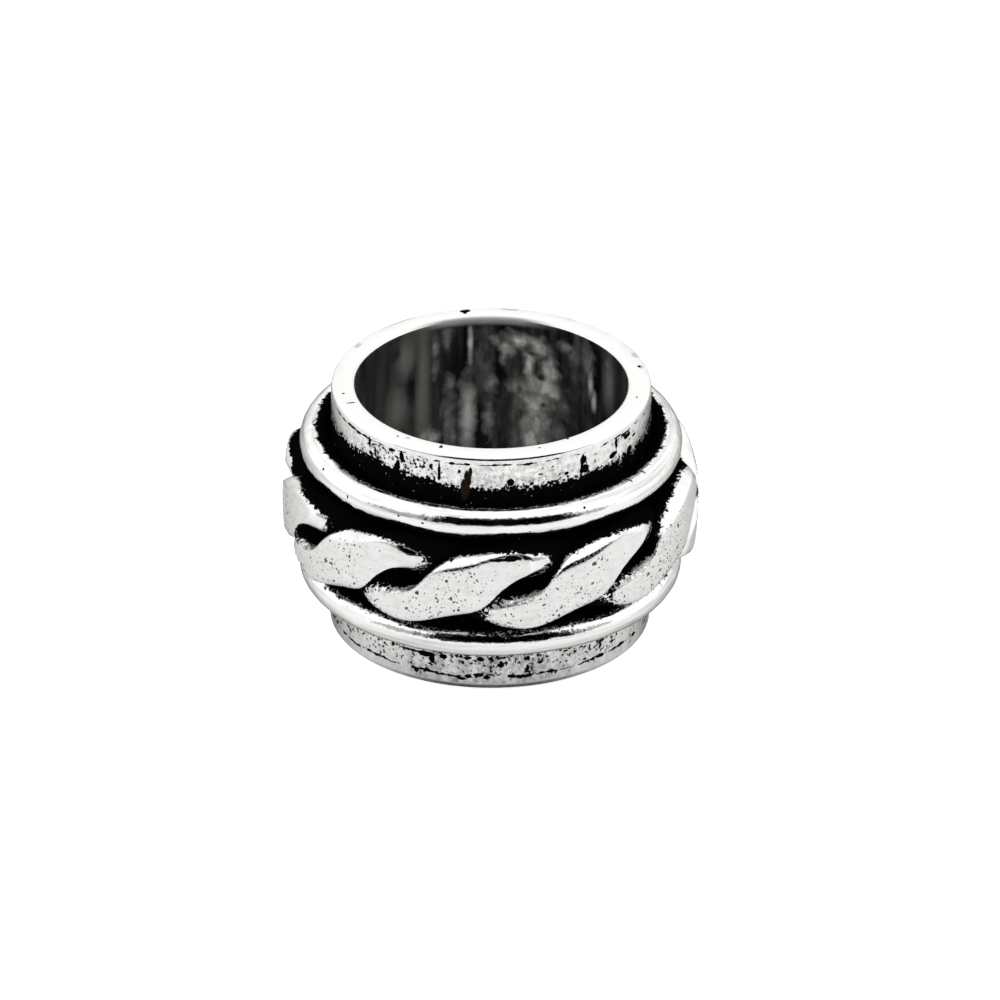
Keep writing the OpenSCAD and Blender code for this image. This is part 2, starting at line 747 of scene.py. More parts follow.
@dataclass(frozen=True, kw_only=True)
class AntiquedSilver:
    """Silver plate on a cast bead, blackened all over and rubbed bright again.

    The dip turns the silver to black sulphide. Tumbling and rubbing bare the high parts,
    which are white and glossy, and leave matt black with ragged edges in every recess.
    """

    sizes: BeadSizes
    bright: str = "#FAFAF8"
    greyer_tone: str = "#E4E4E2"
    satin: str = "#E9E9E7"
    # Grey for tarnish, and for the painted shade and reflections that are drawn grey
    grey_of_tarnish_and_shade: str = "#8A8A88"
    black: str = "#060606"
    # The grey specular tint darkens what the metal reflects at a slant: painted shade along the
    # outlines.
    outline_shade_tint: str = "#A0A09E"
    bright_roughness: float = 0.13
    satin_roughness: float = 0.3
    black_roughness: float = 0.7
    # Polishing marks are a few microns wide. They are too fine to show, so they are drawn as
    # coarse as this, and so shallow that they only blur the reflections.
    scratch_mm: float = 0.05
    scratch_strength: float = 0.1
    scratch_deep_mm: float = 0.02
    # How far the black lies below the silver, in scratch depths
    black_deep: float = 2.0

    def shade(
        self,
        surface: Surface,
        black: Any,
        greying: Any,
        satin: Any = 0.0,
        tarnish_and_shade: Any = 0.0,
        stain: Any = 0.0,
        stain_colour: str = "#060606",
        matt: Any = 0.0,
    ) -> bpy.types.Material:
        """Adds the shader.

        Args:
            surface: The material.
            black: Where the surface is black: sulphide left in recesses, and in places painted
                shade and painted reflections, from 0 to 1.
            greying: Where the silver is a little greyer, from 0 to 1: random clouds, and on the
                rings painted reflections.
            satin: Where it was rubbed flat, from 0 to 1.
            tarnish_and_shade: How far the silver is greyed, by tarnish and by painted shade and
                reflections, from 0 to 1.
            stain: Where a stain of another colour lies, from 0 to 1.
            stain_colour: The colour of that stain.
            matt: How far the surface scatters light like chalk, from 0 to 1.

        Returns:
            The finished material.
        """
        colour: Any = linear_colour(self.bright)
        for mask, code in (
            (greying, self.greyer_tone),
            (satin, self.satin),
            (tarnish_and_shade, self.grey_of_tarnish_and_shade),
            (black, self.black),
            (stain, stain_colour),
        ):
            colour = surface.add(
                "Mix", {0: mask, 6: colour, 7: linear_colour(code)}, output=2, data_type="RGBA"
            )
        rough = surface.add(
            "MapRange",
            {"Value": satin, "To Min": self.bright_roughness, "To Max": self.satin_roughness},
        )
        rough = surface.add(
            "Mix", {0: black, 2: rough, 3: self.black_roughness}, data_type="FLOAT"
        )
        scratches = surface.add(
            "TexNoise",
            {"Vector": surface.place, "Scale": NOISE_SCALE / self.scratch_mm, "Detail": 4.0},
        )
        relief = surface.add(
            "Math", {0: black, 1: -self.black_deep, 2: scratches}, operation="MULTIPLY_ADD"
        )
        bump = surface.add(
            "Bump",
            {
                "Strength": self.scratch_strength,
                "Distance": self.scratch_deep_mm * MM,
                "Height": relief,
            },
        )
        metal = surface.add(
            "Math", {0: 1.0, 1: surface.most(black, matt)}, operation="SUBTRACT"
        )
        shader = surface.add(
            "BsdfPrincipled",
            {
                "Base Color": colour,
                "Metallic": metal,
                "Roughness": rough,
                "Specular IOR Level": 0.0,
                "Specular Tint": linear_colour(self.outline_shade_tint),
                "Normal": bump,
            },
        )
        surface.add("OutputMaterial", {"Surface": shader})
        return surface.material


@dataclass(frozen=True, kw_only=True)
class SleeveSilver(AntiquedSilver):
    """Antiqued silver on the sleeve's outside and ends.

    The walls are white near the ends and break up into black towards the rings. The lower
    one has more specks and is greyer, most of all at the front, where the grey is painted
    shade. Painted shade also greys two bevels, and the end's outer edge at the back.
    """

    # Grey for tarnish and smears, and for the painted shade on the lower wall, in two bevels and
    # on the end's outer edge
    grey_of_tarnish_and_shade: str = "#666664"
    stain_brown: str = "#1E1712"
    # Distances from the bead's middle to the lines on the upper and the lower wall
    upper_line: float = 3.61
    lower_line: float = 3.44
    line_sway: float = 0.36
    blob_fringe: Fringe = Fringe(1.05, 0.95, 0.7, 0.07)
    smooth_fringe: Fringe = Fringe(rag=0.3)
    raised_black: Stretch = Stretch(-58, 12, 36)
    raised_by: float = 0.12
    left_specks: Stretch = Stretch(-34, 7, 24)
    left_specks_share: float = 0.23
    bare_patch: Stretch = Stretch(12, 12, 30)
    bare_grey: float = 0.25
    # Painted shade: the lower wall is greyest at the front, like the shaded floor that it reflects
    lower_shade_front: Stretch = Stretch(0, 15, 45)
    # Painted shade in the lower end's bevel at the front, where it meets the floor: grey, and
    # mottled black
    contact_shade_front: Stretch = Stretch(0, 18, 55)
    contact_shade_grey: float = 0.95
    contact_black_front: Stretch = Stretch(0, 18, 50)
    contact_black: float = 0.8
    # Painted shade in the bore's bevel at the back: matt grey where the light falls off
    inner_shade_back: Stretch = Stretch(-4, 16, 34, Side.BACK)
    inner_shade_grey: float = 0.8
    # Painted shade along the end's outer edge at the back
    rim_shade_back: Stretch = Stretch(0, 50, 110, Side.BACK)
    rim_painted_shade: float = 0.3
    end_grey: float = 0.06
    end_matt: float = 0.55
    smear_grey: float = 0.45
    end_nicks: tuple[Spot, ...] = (
        Spot(-72, 4.33, 0.035, 0.14),
        Spot(-20, 4.27, 0.06, 0.09),
        Spot(33, 4.12, 0.05, 0.04),
        Spot(19.5, 4.27, 0.06, 0.03),
        Spot(-39, 4.33, 0.05, 0.03),
        Spot(-80, 4.4, 0.04, 0.04),
        Spot(78.5, 4.36, 0.05, 0.03),
        Spot(-169.8, 4.48, 0.17, 0.07),
        Spot(-169.5, 4.4, 0.07, 0.1),
        Spot(103.5, 4.46, 0.07, 0.05),
    )
    end_smears: tuple[Spot, ...] = (
        Spot(173.5, 4.55, 0.3, 0.07),
        Spot(-144.7, 4.6, 0.5, 0.06),
        Spot(-119.3, 4.5, 0.17, 0.07),
        Spot(112.5, 4.56, 0.17, 0.1),
        Spot(102.9, 4.5, 0.12, 0.08),
        Spot(-35, 4.25, 0.1, 0.05),
    )
    wall_blobs: tuple[Spot, ...] = (
        Spot(35.2, 7.17, 0.12, 0.2),
        Spot(35.6, 6.88, 0.17, 0.15),
        Spot(51.3, 7.3, 0.07, 0.18),
        Spot(49.5, 6.96, 0.18, 0.1),
        Spot(56.5, 7.42, 0.22, 0.05),
        Spot(58, 7.3, 0.2, 0.09),
        Spot(63, 7.15, 0.12, 0.04),
        Spot(59.5, 6.75, 0.15, 0.15),
        Spot(-18.7, 7.1, 0.05, 0.32),
        Spot(-60, 7.46, 0.25, 0.05),
        Spot(-55.5, 7.44, 0.12, 0.05),
        Spot(-51.5, 7.46, 0.14, 0.04),
        Spot(-38, 7.42, 0.12, 0.06),
        Spot(-35.5, 6.95, 0.1, 0.2),
        Spot(-49, 7.35, 0.05, 0.2),
        Spot(-48.2, 7.0, 0.1, 0.07),
        Spot(-33.5, 7.3, 0.09, 0.2),
        Spot(-11.2, 7.22, 0.05, 0.06),
        Spot(-14, 7.45, 0.09, 0.05),
        Spot(-8.5, 7.47, 0.1, 0.04),
        Spot(7, 6.88, 0.12, 0.12),
        Spot(18, 7.06, 0.07, 0.03),
        Spot(28.3, 6.93, 0.07, 0.05),
        Spot(-30, 0.98, 0.3, 0.04),
        Spot(-23.5, 0.97, 0.28, 0.09),
        Spot(-21, 0.84, 0.1, 0.14),
        Spot(-16.8, 0.98, 0.14, 0.09),
        Spot(-8, 1.02, 0.15, 0.05),
        Spot(-3, 1.0, 0.12, 0.08),
        Spot(0.5, 1.01, 0.09, 0.07),
        Spot(4.5, 1.04, 0.14, 0.03),
        Spot(14, 0.98, 0.06, 0.09),
        Spot(28.5, 1.0, 0.1, 0.04),
        Spot(-14.5, 0.39, 0.07, 0.06),
        Spot(8, 0.43, 0.13, 0.07),
        Spot(-1, 0.4, 0.1, 0.07),
        Spot(-4.5, 0.47, 0.12, 0.05),
        Spot(-7.5, 0.41, 0.09, 0.07),
        Spot(-10, 0.32, 0.13, 0.05),
        Spot(-27, 0.35, 0.08, 0.07),
        Spot(13.8, 0.64, 0.05, 0.12),
        Spot(4, 0.8, 0.1, 0.09),
    )
    stains: tuple[Spot, ...] = (
        Spot(-9.2, 6.65, 0.13, 0.35),
        Spot(-8.3, 6.95, 0.11, 0.3),
        Spot(-7.2, 7.22, 0.06, 0.17),
    )

    def make(self, name: str) -> bpy.types.Material:
        """Makes the material.

        Args:
            name: The material's name.

        Returns:
            The material.
        """
        s = self.sizes
        surface = Surface(name)
        offset = surface.above_mid(s.mid_z)
        lower = surface.add(
            "MapRange",
            {"Value": surface.height, "From Min": s.mid_z, "From Max": s.mid_z - 0.1},
        )
        black = surface.ragged_black(
            self.black_depth(surface, offset, lower),
            coarse_mm=0.2,
            fine_mm=0.05,
            fine_share=0.65,
            spread=0.2,
        )
        top = s.height
        on_end, near_end = (
            surface.add(
                "MapRange",
                {"Value": surface.height, "From Min": top - none, "From Max": top - full},
            )
            for none, full in ((0.06, 0.03), (0.12, 0.09))
        )
        on_side = surface.add(
            "MapRange", {"Value": offset, "From Min": s.mid_z, "From Max": s.mid_z - 0.2}
        )
        walls = (surface.height, s.sleeve_r, Side.FRONT)
        ends = (surface.radius, s.sleeve_r, Side.FRONT)
        blobs = surface.spots(self.wall_blobs, *walls, self.blob_fringe)
        stain = surface.spots(self.stains, *walls, self.smooth_fringe)
        nicks = surface.product(surface.spots(self.end_nicks, *ends), near_end)
        smears = surface.spots(self.end_smears, *ends, self.smooth_fringe)
        # Tarnish, with painted shade on the lower wall, in two bevels and along the end's outer
        # edge at the back
        tarnish_and_shade = surface.most(
            self.wall_tarnish_and_shade(surface, offset, lower, on_side),
            self.bevel_painted_shade(surface),
            surface.product(smears, on_end, self.smear_grey),
            surface.product(self.end_grey_and_rim_shade(surface), on_end),
        )
        return self.shade(
            surface,
            surface.most(
                black,
                self.scribed_line(surface, offset, lower),
                blobs,
                nicks,
                # painted shade in the lower end's bevel at the front
                self.painted_contact_shade(surface),
            ),
            surface.product(surface.mottle(0.2), on_side),
            tarnish_and_shade=tarnish_and_shade,
            # The bore's bevel at the back is matt, with the grey of the painted shade
            matt=surface.most(
                self.shaded_inner_bevel(surface), surface.product(on_end, self.end_matt)
            ),
            stain=stain,
            stain_colour=self.stain_brown,
        )

    def black_depth(self, surface: Surface, offset: Any, lower: Any) -> Any:
        """How much black is left: solid near the upper ring, specks higher up and lower down.

        Args:
            surface: The material.
            offset: Distance above or below the bead's middle.
            lower: 1 on the lower half of the bead, and 0 on the upper.

        Returns:
            The depth that ragged_black reads.
        """
        rise = surface.product(surface.on_stretch(self.raised_black), self.raised_by)
        sunk = surface.add("Math", {0: offset, 1: rise}, operation="SUBTRACT")
        solid = surface.add(
            "MapRange",
            {"Value": sunk, "From Min": 3.02, "From Max": 2.62, "To Min": 0.19, "To Max": 1.1},
        )
        left = surface.product(surface.on_stretch(self.left_specks), self.left_specks_share)
        specks = surface.add(
            "MapRange",
            {"Value": offset, "From Min": 3.5, "From Max": 2.8, "To Min": 0.21, "To Max": 0.47},
        )
        # Behind the rope the lower wall is solid black, as in every deep recess.
        hidden = surface.add(
            "MapRange", {"Value": offset, "From Min": 2.5, "From Max": 2.35, "To Max": 1.2}
        )
        mixed = surface.add(
            "Mix",
            {0: lower, 2: surface.total(solid, left), 3: surface.most(specks, hidden)},
            data_type="FLOAT",
        )
        on_wall = surface.add(
            "MapRange", {"Value": offset, "From Min": 3.68, "From Max": 3.52}
        )
        return surface.product(mixed, on_wall)

    def wall_tarnish_and_shade(self, surface: Surface, offset: Any, lower: Any, on_side: Any) -> Any:
        """Grey clouds on the walls, denser towards the black. On the lower wall they are denser
        and greyest at the front, where they are painted shade as well as tarnish.

        Args:
            surface: The material.
            offset: Distance above or below the bead's middle.
            lower: 1 on the lower half of the bead, and 0 on the upper.
            on_side: 1 on the walls, and 0 on the ends.

        Returns:
            How far the silver is greyed, from 0 to 1.
        """
        fine = surface.mottle(0.08)
        share = surface.add(
            "MapRange",
            {"Value": offset, "From Min": 3.65, "From Max": 2.75, "To Min": 0.14, "To Max": 0.65},
        )
        bare = surface.product(surface.on_stretch(self.bare_patch), self.bare_grey)
        clouds = surface.add(
            "MapRange",
            {
                "Value": surface.total(fine, surface.mottle(0.14, (1, 1, 0.4))),
                "From Max": 1.7,
                "To Min": 0.13,
                "To Max": 0.95,
            },
        )
        # Painted shade: on the lower wall the grey is strongest at the front
        front = surface.add(
            "MapRange",
            {"Value": surface.on_stretch(self.lower_shade_front), "To Min": 0.2, "To Max": 0.9},
        )
        mixed = surface.add(
            "Mix",
            {
                0: lower,
                2: surface.product(fine, surface.total(share, bare)),
                3: surface.product(clouds, front),
            },
            data_type="FLOAT",
        )
        return surface.product(mixed, on_side)

    def end_grey_and_rim_shade(self, surface: Surface) -> Any:
        """A faint grey over the end, and painted shade along its outer edge at the back.

        Args:
            surface: The material.

        Returns:
            How far the silver is greyed, from 0 to 1.
        """
        wall_r = self.sizes.sleeve_r
        outer = surface.add(
            "MapRange",
            {"Value": surface.radius, "From Min": wall_r - 0.35, "From Max": wall_r},
        )
        edge = surface.product(
            outer, surface.on_stretch(self.rim_shade_back), surface.mottle(0.5), self.rim_painted_shade
        )
        return surface.total(edge, self.end_grey)

    def bevel_painted_shade(self, surface: Surface) -> Any:
        """Painted shade in two bevels, in grey: the lower end's at the front, where it meets the
        floor, and the bore's at the back, where the light falls off into the bore.

        Args:
            surface: The material.

        Returns:
            How far the silver is greyed, from 0 to 1.
        """
        low = surface.add(
            "MapRange", {"Value": surface.height, "From Min": 0.2, "From Max": 0.13}
        )
        return surface.most(
            surface.product(low, surface.on_stretch(self.contact_shade_front), self.contact_shade_grey),
            surface.product(self.shaded_inner_bevel(surface), self.inner_shade_grey),
        )

    def painted_contact_shade(self, surface: Surface) -> Any:
        """Mottled black painted shade in the lower end's bevel at the front, where it meets the
        floor.

        Args:
            surface: The material.

        Returns:
            How black the surface is, from 0 to 1.
        """
        low = surface.add(
            "MapRange", {"Value": surface.height, "From Min": 0.17, "From Max": 0.1}
        )
        clouds = surface.add(
            "MapRange", {"Value": surface.mottle(0.09, (1, 1, 0.3)), "To Min": 0.35}
        )
        front = surface.on_stretch(self.contact_black_front)
        return surface.product(low, front, clouds, self.contact_black)

    def shaded_inner_bevel(self, surface: Surface) -> Any:
        """The bore's bevel at the back, made matt and grey as painted shade where the light falls
        off into the bore.

        Args:
            surface: The material.

        Returns:
            A mask, 1 on that stretch of the bevel.
        """
        bore_r = self.sizes.bore_r
        inner = surface.add(
            "MapRange",
            {"Value": surface.radius, "From Min": bore_r + 0.14, "From Max": bore_r + 0.03},
        )
        return surface.product(inner, surface.on_stretch(self.inner_shade_back))

    def scribed_line(self, surface: Surface, offset: Any, lower: Any) -> Any:
        """A thin line round each wall near its end, which swells into blobs of black.

        Args:
            surface: The material.
            offset: Distance above or below the bead's middle.
            lower: 1 on the lower half of the bead, and 0 on the upper.

        Returns:
            A mask, 1 in the line.
        """
        level = surface.add(
            "Mix", {0: lower, 2: self.upper_line, 3: self.lower_line}, data_type="FLOAT"
        )
        sway, swell = (
            surface.add("TexNoise", {"Vector": surface.place, "Scale": scale, "Detail": 5.0})
            for scale in (0.7, 4.0)
        )
        shift = surface.add(
            "Math",
            {0: sway, 1: self.line_sway, 2: -self.line_sway * NOISE_MIDDLE},
            operation="MULTIPLY_ADD",
        )
        gap = surface.add("Math", {0: offset, 1: level}, operation="SUBTRACT")
        near = surface.add("Math", {0: surface.total(gap, shift)}, operation="ABSOLUTE")
        widest = surface.add("Mix", {0: lower, 2: 0.045, 3: 0.085}, data_type="FLOAT")
        width = surface.add(
            "MapRange",
            {
                "Value": swell,
                "From Min": NOISE_LOW,
                "From Max": NOISE_HIGH,
                "To Min": -0.002,
                "To Max": widest,
            },
        )
        within = surface.add("Math", {0: width, 1: near}, operation="SUBTRACT")
        return surface.add("MapRange", {"Value": within, "From Min": -0.004, "From Max": 0.008})


@dataclass(frozen=True, kw_only=True)
class BoreSilver:
    """Antiqued silver inside the bore, which rubbing didn't reach.

    It stays dark grey, with lighter, nearly matt upright streaks and patches, and near its top
    at the back a painted light where light falls in.
    """

    sizes: BeadSizes
    deep: str = "#262626"
    grey: str = "#9A9A98"
    pale_grey: str = "#CFCFCB"
    roughness: float = 0.5
    # How much of the pale grey lies there, by its place
    wash_share: float = 0.42
    smear_share: float = 0.55
    streak_share: float = 0.95
    dapple_share: float = 0.5
    left: Stretch = Stretch(-44, 10, 34, Side.BACK)
    left_share: float = 0.1
    # Painted light: the bore is lighter near its top at the back, where light falls in
    lit_lip: Stretch = Stretch(-4, 16, 34, Side.BACK)
    lit_lip_share: float = 0.6
    wash_fringe: Fringe = Fringe(1.6, 0.3, 0.3, 0.5)
    smear_fringe: Fringe = Fringe(1.9, 0.2, 1.2, 0.14)
    patch_fringe: Fringe = Fringe(1.9, 0.35, 1.3, 0.2)
    hole_fringe: Fringe = Fringe(1.5, 0.4, 0.6, 0.15)
    streak_fringe: Fringe = Fringe(1.7, 0.2, 0.7, 0.16)
    washes: tuple[Spot, ...] = (
        Spot(-30.5, 5.6, 0.27, 2.8),
        Spot(-44, 5.2, 0.5, 0.8),
        Spot(-39, 6.7, 0.4, 0.8),
        Spot(60, 6.5, 0.3, 0.9),
    )
    smears: tuple[Spot, ...] = (
        Spot(-18, 4.6, 0.16, 0.9),
        Spot(-17.2, 5.6, 0.1, 0.25),
        Spot(-1.2, 4.4, 0.13, 0.5),
        Spot(-0.5, 5.5, 0.16, 0.2),
        Spot(9.5, 5.45, 0.2, 0.18),
        Spot(-19, 7.15, 0.12, 0.3),
        Spot(-24.5, 6.9, 0.1, 0.35),
        Spot(-24.5, 6.2, 0.12, 0.3),
        Spot(-12.5, 5.5, 0.14, 0.16),
        Spot(33, 7.05, 0.2, 0.16),
        Spot(37, 6.8, 0.16, 0.2),
        Spot(32, 5.0, 0.16, 0.25),
        Spot(30, 4.2, 0.16, 0.25),
        Spot(45.5, 6.9, 0.2, 0.4),
        Spot(59, 6.7, 0.14, 0.5),
    )
    patches: tuple[Spot, ...] = (
        Spot(13, 6.98, 0.6, 0.2),
        Spot(6.8, 6.65, 0.17, 0.4),
        Spot(20, 6.8, 0.32, 0.28),
        Spot(16, 6.3, 0.14, 0.4),
        Spot(25, 6.1, 0.24, 0.5),
        Spot(24, 5.5, 0.42, 0.28),
        Spot(17.5, 5.5, 0.25, 0.3),
        Spot(19, 5.0, 0.4, 0.4),
        Spot(20, 4.3, 0.3, 0.6),
        Spot(17, 3.8, 0.2, 0.5),
        Spot(-27, 3.9, 0.2, 0.3),
    )
    holes: tuple[Spot, ...] = (
        Spot(10.7, 6.33, 0.24, 0.24),
        Spot(21.5, 5.85, 0.12, 0.1),
        Spot(17, 6.6, 0.1, 0.07),
        Spot(22.5, 4.95, 0.08, 0.08),
        Spot(-45, 7.05, 0.16, 0.2),
        Spot(-36.5, 5.7, 0.14, 0.5),
    )
    streaks: tuple[Spot, ...] = (
        Spot(-10, 4.5, 0.2, 1.0),
        Spot(-9, 6.85, 0.07, 0.5),
        Spot(46.8, 6.2, 0.1, 0.35),
        Spot(49, 5.65, 0.1, 0.28),
    )

    def make(self, name: str) -> bpy.types.Material:
        """Makes the material.

        Args:
            name: The material's name.

        Returns:
            The material.
        """
        s = self.sizes
        surface = Surface(name)
        bands = surface.add(
            "TexNoise", {"Vector": surface.stretched((1, 1, 0.16)), "Scale": 1.8, "Detail": 3.0}
        )
        banding = surface.add(
            "MapRange", {"Value": bands, "From Min": 0.4, "From Max": 0.7, "To Max": 0.45}
        )
        dapple = surface.mottle(0.15, (1, 1, 0.7))
        uneven = surface.add("MapRange", {"Value": dapple, "To Min": 0.6, "To Max": 1.15})
        wash, smear, patch, hole, streak = (
            surface.spots(group, surface.height, s.bore_r, Side.BACK, fringe)
            for group, fringe in (
                (self.washes, self.wash_fringe),
                (self.smears, self.smear_fringe),
                (self.patches, self.patch_fringe),
                (self.holes, self.hole_fringe),
                (self.streaks, self.streak_fringe),
            )
        )
        at_lip = surface.add(
            "MapRange",
            {"Value": surface.height, "From Min": s.height - 0.28, "From Max": s.height - 0.14},
        )
        thick = surface.most(
            surface.product(patch, uneven),
            surface.product(dapple, banding, self.dapple_share),
            surface.product(wash, self.wash_share),
            surface.product(smear, uneven, self.smear_share),
            surface.product(streak, self.streak_share),
            surface.product(surface.on_stretch(self.left), self.left_share),
            # painted light near the bore's top at the back
            surface.product(at_lip, surface.on_stretch(self.lit_lip), self.lit_lip_share),
        )
        kept = surface.add("MapRange", {"Value": hole, "To Min": 1.0, "To Max": 0.12})
        thick = surface.product(thick, kept)
        colour: Any = linear_colour(self.deep)
        for mask, code in ((banding, self.grey), (thick, self.pale_grey)):
            colour = surface.add(
                "Mix", {0: mask, 6: colour, 7: linear_colour(code)}, output=2, data_type="RGBA"
            )
        metal = surface.add("MapRange", {"Value": thick, "To Min": 1.0, "To Max": 0.1})
        shader = surface.add(
            "BsdfPrincipled",
            {"Base Color": colour, "Metallic": metal, "Roughness": self.roughness},
        )
        surface.add("OutputMaterial", {"Surface": shader})
        return surface.material


@dataclass(frozen=True, kw_only=True)
class RingSilver(AntiquedSilver):
    """Antiqued silver on the wire rings: white outside, black where they meet the sleeve.

    Its grey streaks along the wire are painted reflections of the tent, laid out like drawing
    lines.
    """

    crest_r: float = 5.62
    # Radii where the black of the ring's inner side ends, towards the sleeve's end and the rope.
    # On the lower ring's rope side it reaches farther: patina, and painted shadow of the rope.
    sleeve_side_r: float = 5.14
    upper_rope_side_r: float = 5.18
    lower_rope_side_shadow_r: float = 5.42
    # Grey of the painted reflections along the wire
    greyer_tone: str = "#D6D6D4"
    # Dark grey of the painted reflection on the lower ring
    grey_of_tarnish_and_shade: str = "#3A3A38"
    # The grey streaks along the wire are painted reflections, laid out as coarse lines along it.
    streaks_per_mm: float = 7.0
    streaks_per_radian: float = 2.0
    scratch_mm: float = 0.09
    scratch_strength: float = 0.6
    nick_fringe: Fringe = Fringe(rag=0.3)
    # Painted reflection of the dark front: dark grey streaks on the lower ring's upper side
    front_reflection_z: float = 2.2
    front_reflection_half: float = 0.14
    front_reflection_stretch: Stretch = Stretch(0, 10, 24)
    back_streaks: Stretch = Stretch(0, 20, 60, Side.BACK)
    top_nicks: tuple[Spot, ...] = (
        Spot(-47, 5.1, 0.025, 0.2),
        Spot(51, 5.24, 0.03, 0.11),
        Spot(58, 5.22, 0.035, 0.13),
        Spot(-63, 5.5, 0.04, 0.03),
        Spot(30, 5.5, 0.04, 0.03),
    )
    side_nicks: tuple[Spot, ...] = (
        Spot(-20.7, 5.83, 0.05, 0.025),
        Spot(-28.6, 5.89, 0.04, 0.025),
        Spot(-48.2, 5.86, 0.03, 0.06),
        Spot(12, 5.7, 0.03, 0.02),
        Spot(-35, 5.98, 0.03, 0.02),
    )

    def make(self, name: str) -> bpy.types.Material:
        """Makes the material.

        Args:
            name: The material's name.

        Returns:
            The material.
        """
        s = self.sizes
        surface = Surface(name)
        offset = surface.above_mid(s.mid_z)
        rope_side = surface.add(
            "MapRange",
            {
                "Value": surface.height,
                "From Min": s.mid_z - 0.1,
                "From Max": s.mid_z + 0.1,
                "To Min": self.lower_rope_side_shadow_r,
                "To Max": self.upper_rope_side_r,
            },
        )
        edge = surface.add(
            "MapRange",
            {
                "Value": offset,
                "From Min": s.ring_offset - 0.1,
                "From Max": s.ring_offset + 0.1,
                "To Min": rope_side,
                "To Max": self.sleeve_side_r,
            },
        )
        inside = surface.add("Math", {0: edge, 1: surface.radius}, operation="SUBTRACT")
        depth = surface.add(
            "MapRange", {"Value": inside, "From Min": -0.22, "From Max": 0.2}
        )
        ragged = surface.ragged_black(depth, coarse_mm=0.14, fine_mm=0.05, fine_share=0.5)
        deep = surface.add("MapRange", {"Value": inside, "From Min": 0.0, "From Max": 0.05})
        end_side = surface.add(
            "Math", {0: offset, 1: s.ring_offset}, operation="GREATER_THAN"
        )
        above = s.mid_z + s.ring_offset
        on_top = surface.add(
            "MapRange", {"Value": surface.height, "From Min": above, "From Max": above + 0.1}
        )
        top_nicks, side_nicks = (
            surface.spots(group, level, self.crest_r, fringe=self.nick_fringe)
            for group, level in (
                (self.top_nicks, surface.radius),
                (self.side_nicks, surface.height),
            )
        )
        # Painted reflections: grey streaks along the wire
        lines = self.reflected_streaks(surface)
        greying = surface.add("MapRange", {"Value": lines, "From Min": 0.48, "From Max": 0.68})
        return self.shade(
            surface,
            surface.most(
                ragged,
                surface.product(deep, end_side),
                surface.product(top_nicks, on_top),
                side_nicks,
            ),
            greying,
            # painted reflection of the dark front on the lower ring
            tarnish_and_shade=self.painted_front_reflection(surface, lines),
        )

    def painted_front_reflection(self, surface: Surface, lines: Any) -> Any:
        """Dark grey streaks on the upper side of the lower ring, at the front: a painted
        reflection of the dark front.

        Args:
            surface: The material.
            lines: Noise that is long along the wire.

        Returns:
            How far the silver is greyed, from 0 to 1.
        """
        band = surface.add(
            "MapRange",
            {
                "Value": surface.above_mid(self.front_reflection_z),
                "From Min": self.front_reflection_half,
                "From Max": 0.04,
            },
        )
        thick = surface.add("MapRange", {"Value": lines, "From Min": 0.42, "From Max": 0.58})
        return surface.product(band, surface.on_stretch(self.front_reflection_stretch), thick)

    def reflected_streaks(self, surface: Surface) -> Any:
        """Noise that is long along the wire and changes quickly across it, for the painted
        reflections.

        The angle that a pattern follows jumps on the opposite side of the bead, so there is
        one pattern for the front and one for the back.

        Args:
            surface: The material.

        Returns:
            The noise.
        """
        out = surface.product(surface.radius, self.streaks_per_mm)
        up = surface.product(surface.height, self.streaks_per_mm)
        patterns = []
        for side in Side:
            along = surface.product(surface.round_from(side), self.streaks_per_radian)
            here = surface.add("CombineXYZ", {0: along, 1: out, 2: up})
            patterns.append(
                surface.add("TexNoise", {"Vector": here, "Scale": 1.0, "Detail": 4.0})
            )
        behind = surface.on_stretch(self.back_streaks)
        return surface.add(
            "Mix", {0: behind, 2: patterns[0], 3: patterns[1]}, data_type="FLOAT"
        )


